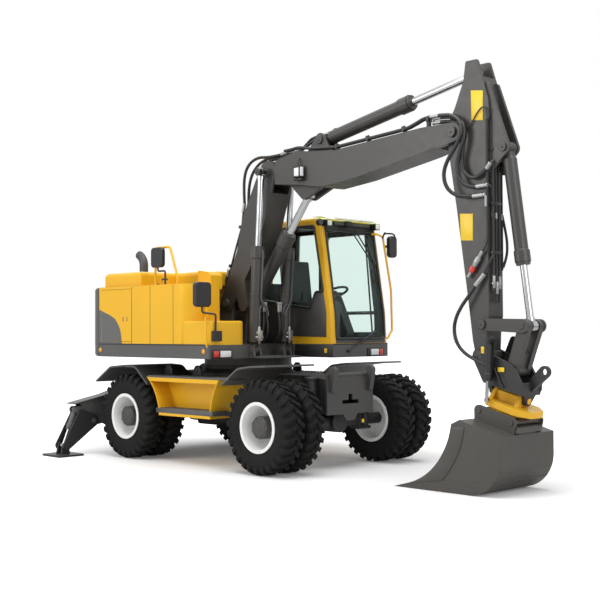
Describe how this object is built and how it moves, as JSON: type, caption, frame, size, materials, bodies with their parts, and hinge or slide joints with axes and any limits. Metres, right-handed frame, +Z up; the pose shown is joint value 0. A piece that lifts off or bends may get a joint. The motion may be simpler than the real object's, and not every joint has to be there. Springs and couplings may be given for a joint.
{
  "type": "wheeled excavator",
  "caption": "Wheeled excavator with a two-piece boom, dipper, tilting and rotating ditching bucket, cab beside the boom, twin tyres and rear stabiliser legs.",
  "frame": {"origin": "on the ground, at the middle of the whole machine's box", "axes": "+X forward, the way the boom points; +Y to the machine's left, where the cab is; +Z up"},
  "size_m": [7.0804, 3.7, 4.53],
  "materials": {
    "yellow_paint": "semi-gloss yellow enamel",
    "cab_yellow": "semi-gloss yellow enamel",
    "dark_paint": "satin dark grey paint",
    "grey_paint": "satin mid grey paint",
    "black_paint": "satin black paint",
    "chrome_rod": "hard chrome",
    "tyre_rubber": "matt black rubber",
    "rim_paint": "gloss off-white paint",
    "cab_glass": "lightly tinted safety glass",
    "visor_green": "green tinted clear plastic",
    "interior": "matt black plastic and fabric",
    "mirror_case": "matt black plastic",
    "lamp_case": "matt black plastic",
    "engine_iron": "painted casting"
  },
  "bodies": {
    "chassis": {"chassis_frame": "black_paint", "front_plate": "yellow_paint", "mudguards": "grey_paint", "side_lockers": "yellow_paint", "front_axle": "black_paint", "rear_axle": "black_paint", "stabiliser_housing": "black_paint"},
    "upper": {"upper_deck": "grey_paint", "counterweight": "grey_paint", "body_shell": "yellow_paint", "engine": "engine_iron", "exhaust": "grey_paint", "handrails": "yellow_paint", "mirrors": "mirror_case", "cab_shell": "cab_yellow", "cab_glass": "cab_glass", "cab_interior": "interior", "work_lamps": "lamp_case", "visor": "visor_green"},
    "hood": {"engine_hood": "yellow_paint"},
    "cab_door": {"cab_door": "cab_yellow", "door_glass": "cab_glass"},
    "service_door": {"service_door": "yellow_paint"},
    "knuckle_left": {"knuckle_left": "black_paint"},
    "knuckle_right": {"knuckle_right": "black_paint"},
    "wheel_front_left": {"tyres_front_left": "tyre_rubber", "rims_front_left": "rim_paint"},
    "wheel_front_right": {"tyres_front_right": "tyre_rubber", "rims_front_right": "rim_paint"},
    "wheel_rear_left": {"tyres_rear_left": "tyre_rubber", "rims_rear_left": "rim_paint"},
    "wheel_rear_right": {"tyres_rear_right": "tyre_rubber", "rims_rear_right": "rim_paint"},
    "stabiliser_leg_left": {"stabiliser_leg_left": "black_paint"},
    "stabiliser_pad_left": {"stabiliser_pad_left": "black_paint"},
    "stabiliser_barrel_left": {"stabiliser_barrel_left": "grey_paint"},
    "stabiliser_rod_left": {"stabiliser_rod_left": "chrome_rod"},
    "stabiliser_leg_right": {"stabiliser_leg_right": "black_paint"},
    "stabiliser_pad_right": {"stabiliser_pad_right": "black_paint"},
    "stabiliser_barrel_right": {"stabiliser_barrel_right": "grey_paint"},
    "stabiliser_rod_right": {"stabiliser_rod_right": "chrome_rod"},
    "base_boom": {"base_boom": "dark_paint"},
    "lift_barrels": {"lift_barrels": "dark_paint"},
    "lift_rods": {"lift_rods": "chrome_rod"},
    "fold_barrel": {"fold_barrel": "dark_paint"},
    "fold_rod": {"fold_rod": "chrome_rod"},
    "boom": {"boom": "dark_paint"},
    "arm_barrel": {"arm_barrel": "dark_paint"},
    "arm_rod": {"arm_rod": "chrome_rod"},
    "dipper": {"dipper": "dark_paint"},
    "bucket_barrel": {"bucket_barrel": "dark_paint"},
    "bucket_rod": {"bucket_rod": "chrome_rod"},
    "rocker": {"rocker": "dark_paint"},
    "push_link": {"push_link": "dark_paint"},
    "tool_head": {"tilt_frame": "dark_paint", "tilt_barrels": "dark_paint"},
    "tilt_rod_left": {"tilt_rod_left": "chrome_rod"},
    "tilt_rod_right": {"tilt_rod_right": "chrome_rod"},
    "rotor": {"rotor": "yellow_paint"},
    "bucket": {"bucket": "dark_paint"}
  },
  "joints": [
    {"name": "slew", "type": "hinge", "parent": "chassis", "child": "upper", "pos_m": [-1.34, 0, 1.23], "axis": [0, 0, 1], "continuous": true},
    {"name": "steer_left", "type": "hinge", "parent": "chassis", "child": "knuckle_left", "pos_m": [0.23, 0.56, 0.556], "axis": [0, 0, 1], "range_deg": [-25, 25]},
    {"name": "steer_right", "type": "hinge", "parent": "chassis", "child": "knuckle_right", "pos_m": [0.23, -0.56, 0.556], "axis": [0, 0, 1], "range_deg": [-26, 26]},
    {"name": "wheel_front_left_spin", "type": "hinge", "parent": "knuckle_left", "child": "wheel_front_left", "pos_m": [0.23, 0.97, 0.556], "axis": [0, 1, 0], "continuous": true},
    {"name": "wheel_rear_left_spin", "type": "hinge", "parent": "chassis", "child": "wheel_rear_left", "pos_m": [-2.37, 0.97, 0.556], "axis": [0, 1, 0], "continuous": true},
    {"name": "wheel_front_right_spin", "type": "hinge", "parent": "knuckle_right", "child": "wheel_front_right", "pos_m": [0.23, -0.97, 0.556], "axis": [0, 1, 0], "continuous": true},
    {"name": "wheel_rear_right_spin", "type": "hinge", "parent": "chassis", "child": "wheel_rear_right", "pos_m": [-2.37, -0.97, 0.556], "axis": [0, 1, 0], "continuous": true},
    {"name": "stabiliser_left", "type": "hinge", "parent": "chassis", "child": "stabiliser_leg_left", "pos_m": [-3.25, 1.23, 0.455], "axis": [1, 0, 0], "range_deg": [0, 38]},
    {"name": "stabiliser_pad_left", "type": "hinge", "parent": "stabiliser_leg_left", "child": "stabiliser_pad_left", "pos_m": [-3.25, 1.65, 0.135], "axis": [1, 0, 0], "range_deg": [-39, 1]},
    {"name": "stabiliser_barrel_left", "type": "hinge", "parent": "chassis", "child": "stabiliser_barrel_left", "pos_m": [-3.25, 1.46, 0.61], "axis": [1, 0, 0], "range_deg": [-1, 41]},
    {"name": "stabiliser_rod_left", "type": "slide", "parent": "stabiliser_barrel_left", "child": "stabiliser_rod_left", "axis": [0, 0.3714, -0.9285], "range_m": [-0.186, 0.004]},
    {"name": "stabiliser_right", "type": "hinge", "parent": "chassis", "child": "stabiliser_leg_right", "pos_m": [-3.25, -1.23, 0.455], "axis": [-1, 0, 0], "range_deg": [0, 38]},
    {"name": "stabiliser_pad_right", "type": "hinge", "parent": "stabiliser_leg_right", "child": "stabiliser_pad_right", "pos_m": [-3.25, -1.65, 0.135], "axis": [-1, 0, 0], "range_deg": [-39, 1]},
    {"name": "stabiliser_barrel_right", "type": "hinge", "parent": "chassis", "child": "stabiliser_barrel_right", "pos_m": [-3.25, -1.46, 0.61], "axis": [-1, 0, 0], "range_deg": [-1, 41]},
    {"name": "stabiliser_rod_right", "type": "slide", "parent": "stabiliser_barrel_right", "child": "stabiliser_rod_right", "axis": [0, -0.3714, -0.9285], "range_m": [-0.186, 0.004]},
    {"name": "boom_lift", "type": "hinge", "parent": "upper", "child": "base_boom", "pos_m": [-1.25, -0.28, 2.04], "axis": [0, -1, 0], "range_deg": [-45, 12]},
    {"name": "lift_barrel_swing", "type": "hinge", "parent": "upper", "child": "lift_barrels", "pos_m": [-0.622, -0.28, 1.43], "axis": [0, -1, 0], "range_deg": [-37, 10.5]},
    {"name": "lift_rod_slide", "type": "slide", "parent": "lift_barrels", "child": "lift_rods", "axis": [0.0682, 0, 0.9977], "range_m": [-0.6, 0.165]},
    {"name": "boom_fold", "type": "hinge", "parent": "base_boom", "child": "boom", "pos_m": [-0.47, -0.28, 3.655], "axis": [0, -1, 0], "range_deg": [-25, 35]},
    {"name": "fold_barrel_swing", "type": "hinge", "parent": "base_boom", "child": "fold_barrel", "pos_m": [-0.94, -0.28, 2], "axis": [0, -1, 0], "range_deg": [-3.5, 4.5]},
    {"name": "fold_rod_slide", "type": "slide", "parent": "fold_barrel", "child": "fold_rod", "axis": [0.6211, 0, 0.7837], "range_m": [-0.28, 0.39]},
    {"name": "arm_swing", "type": "hinge", "parent": "boom", "child": "dipper", "pos_m": [2.474, -0.28, 3.786], "axis": [0, 1, 0], "range_deg": [-62, 16]},
    {"name": "arm_barrel_swing", "type": "hinge", "parent": "boom", "child": "arm_barrel", "pos_m": [0.4, -0.28, 3.975], "axis": [0, -1, 0], "range_deg": [-1.5, 3]},
    {"name": "arm_rod_slide", "type": "slide", "parent": "arm_barrel", "child": "arm_rod", "axis": [0.9822, 0, 0.1879], "range_m": [-0.67, 0.18]},
    {"name": "bucket_curl", "type": "hinge", "parent": "dipper", "child": "tool_head", "pos_m": [2.78, -0.28, 1.408], "axis": [0, 1, 0], "range_deg": [-62, 70]},
    {"name": "rocker_swing", "type": "hinge", "parent": "dipper", "child": "rocker", "pos_m": [2.826, -0.28, 1.734], "axis": [0, 1, 0], "range_deg": [-54, 61]},
    {"name": "push_link_swing", "type": "hinge", "parent": "rocker", "child": "push_link", "pos_m": [3.32, -0.28, 1.716], "axis": [0, -1, 0], "range_deg": [-34, 38]},
    {"name": "bucket_barrel_swing", "type": "hinge", "parent": "dipper", "child": "bucket_barrel", "pos_m": [3.062, -0.28, 3.566], "axis": [0, -1, 0], "range_deg": [-4, 4]},
    {"name": "bucket_rod_slide", "type": "slide", "parent": "bucket_barrel", "child": "bucket_rod", "axis": [0.1381, 0, -0.9904], "range_m": [-0.4, 0.45]},
    {"name": "tool_tilt", "type": "hinge", "parent": "tool_head", "child": "rotor", "pos_m": [3.0578, -0.28, 1.00745], "axis": [0.9659, 0, -0.2588], "range_deg": [-40, 40]},
    {"name": "tilt_rod_left", "type": "slide", "parent": "tool_head", "child": "tilt_rod_left", "axis": [-0.0452, 0, -0.999], "range_m": [-0.165, 0.165]},
    {"name": "tilt_rod_right", "type": "slide", "parent": "tool_head", "child": "tilt_rod_right", "axis": [-0.0452, 0, -0.999], "range_m": [-0.165, 0.165]},
    {"name": "tool_rotate", "type": "hinge", "parent": "rotor", "child": "bucket", "pos_m": [3.04179, -0.28, 0.82022], "axis": [0.2588, 0, 0.9659], "continuous": true},
    {"name": "engine_hood", "type": "hinge", "parent": "upper", "child": "hood", "pos_m": [-2.94, 0, 2.2703], "axis": [0, -1, 0], "range_deg": [0, 50]},
    {"name": "cab_door", "type": "hinge", "parent": "upper", "child": "cab_door", "pos_m": [-1.115, 1.245, 2], "axis": [0, 0, 1], "range_deg": [0, 150]},
    {"name": "service_door", "type": "hinge", "parent": "upper", "child": "service_door", "pos_m": [-2.94, -1.245, 1.9], "axis": [0, 0, -1], "range_deg": [0, 80]}
  ],
  "couplings": [
    {"joint": "steer_right", "follows": "steer_left", "ratio": 1},
    {"joint": "stabiliser_pad_left", "follows": "stabiliser_left", "ratio": -1},
    {"joint": "stabiliser_barrel_left", "follows": "stabiliser_left", "ratio": 1.045},
    {"joint": "stabiliser_rod_left", "follows": "stabiliser_left", "m_per_rad": -0.2704},
    {"joint": "stabiliser_pad_right", "follows": "stabiliser_right", "ratio": -1},
    {"joint": "stabiliser_barrel_right", "follows": "stabiliser_right", "ratio": 1.045},
    {"joint": "stabiliser_rod_right", "follows": "stabiliser_right", "m_per_rad": -0.2704},
    {"joint": "lift_barrel_swing", "follows": "boom_lift", "ratio": 0.81},
    {"joint": "lift_rod_slide", "follows": "boom_lift", "m_per_rad": 0.7563},
    {"joint": "fold_barrel_swing", "follows": "boom_fold", "ratio": 0.1},
    {"joint": "fold_rod_slide", "follows": "boom_fold", "m_per_rad": 0.6245},
    {"joint": "arm_barrel_swing", "follows": "arm_swing", "ratio": -0.035},
    {"joint": "arm_rod_slide", "follows": "arm_swing", "m_per_rad": 0.6075},
    {"joint": "rocker_swing", "follows": "bucket_curl", "ratio": 0.855},
    {"joint": "push_link_swing", "follows": "bucket_curl", "ratio": 0.52},
    {"joint": "bucket_barrel_swing", "follows": "bucket_curl", "ratio": -0.045},
    {"joint": "bucket_rod_slide", "follows": "bucket_curl", "m_per_rad": 0.3621},
    {"joint": "tilt_rod_left", "follows": "tool_tilt", "m_per_rad": -0.2345},
    {"joint": "tilt_rod_right", "follows": "tool_tilt", "m_per_rad": 0.2345}
  ]
}
